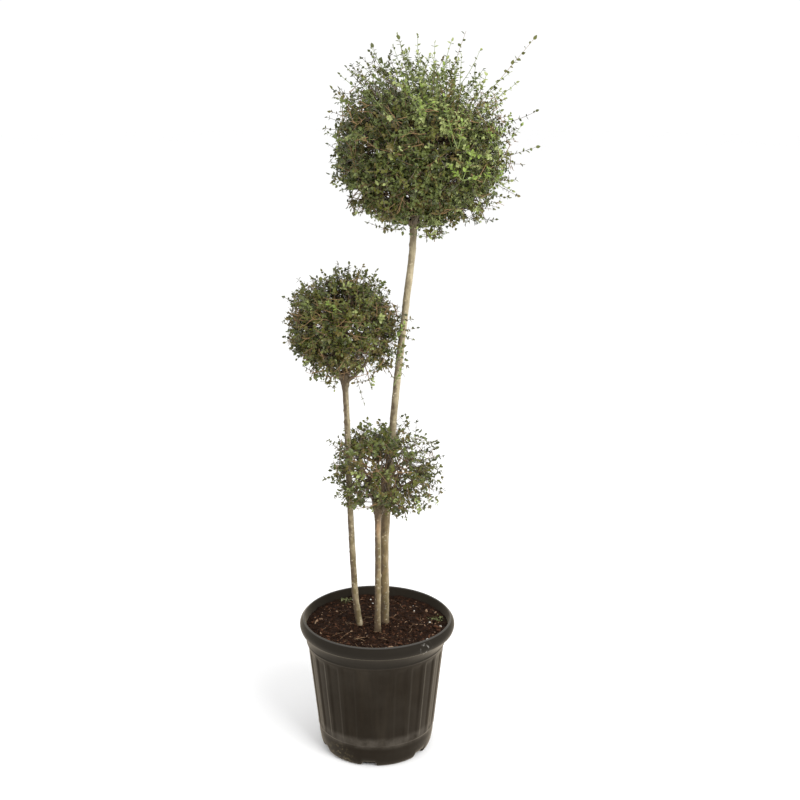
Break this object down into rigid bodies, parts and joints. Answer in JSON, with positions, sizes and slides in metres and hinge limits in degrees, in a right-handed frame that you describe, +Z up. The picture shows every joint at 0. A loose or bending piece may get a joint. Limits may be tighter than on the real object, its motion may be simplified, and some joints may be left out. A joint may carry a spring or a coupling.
{
  "type": "potted privet triple ball topiary",
  "caption": "Privet trained as clipped leaf balls at stepped heights on slender bare stems, growing in a fluted black nursery pot filled with bark compost.",
  "frame": {"origin": "centre of the pot's underside, on the surface that it stands on", "axes": "+Z up along the pot's axis, +X to the right and +Y away as the plant is seen in the picture"},
  "size_m": [0.5001, 0.3477, 1.5111],
  "materials": {
    "pot_plastic": "dusty satin black moulded plastic",
    "compost": "damp dark bark and peat",
    "bark": "smooth tan bark with pale breathing pores",
    "foliage": "small glossy evergreen leaves on brown twigs"
  },
  "bodies": {
    "root": {"pot": "pot_plastic", "compost": "compost", "tall_stem": "bark", "left_stem": "bark", "short_stem": "bark", "top_bough_1": "bark", "top_bough_2": "bark", "top_bough_3": "bark", "top_bough_4": "bark", "top_bough_5": "bark", "left_bough_1": "bark", "left_bough_2": "bark", "left_bough_3": "bark", "left_bough_4": "bark", "small_bough_1": "bark", "small_bough_2": "bark", "small_bough_3": "bark", "small_bough_4": "bark", "top_ball_foliage": "foliage", "left_ball_foliage": "foliage", "small_ball_foliage": "foliage"}
  },
  "joints": []
}
